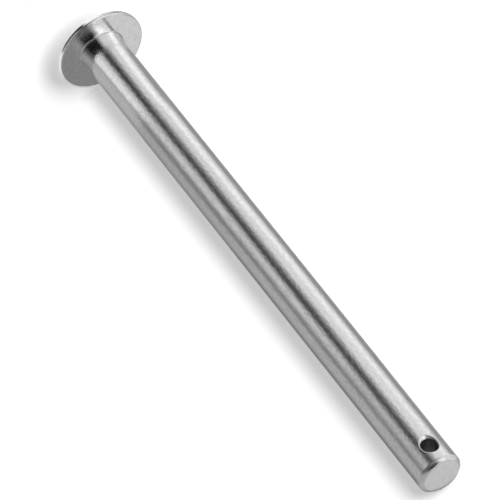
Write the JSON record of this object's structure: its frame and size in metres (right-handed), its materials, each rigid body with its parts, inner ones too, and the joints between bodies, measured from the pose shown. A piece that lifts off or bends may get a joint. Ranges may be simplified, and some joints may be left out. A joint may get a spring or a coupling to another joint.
{
  "type": "hinge pin",
  "caption": "Plain round hinge pin with a thin flat head, a slightly flared neck, a bevelled tip and a cross hole near the tip for a split pin.",
  "frame": {"origin": "centre of the head's outer face, on which the pin stands", "axes": "+Z along the pin's axis from the head to the tip, +Y along the cross hole, +X across it"},
  "size_m": [0.0162, 0.0162, 0.1139],
  "materials": {
    "zinc_plated_steel": "bright zinc plating over drawn steel bar: satin shank with a fine lengthwise grain, smooth flat head, plain end face"
  },
  "bodies": {
    "root": {"hinge_pin": "zinc_plated_steel"}
  },
  "joints": []
}
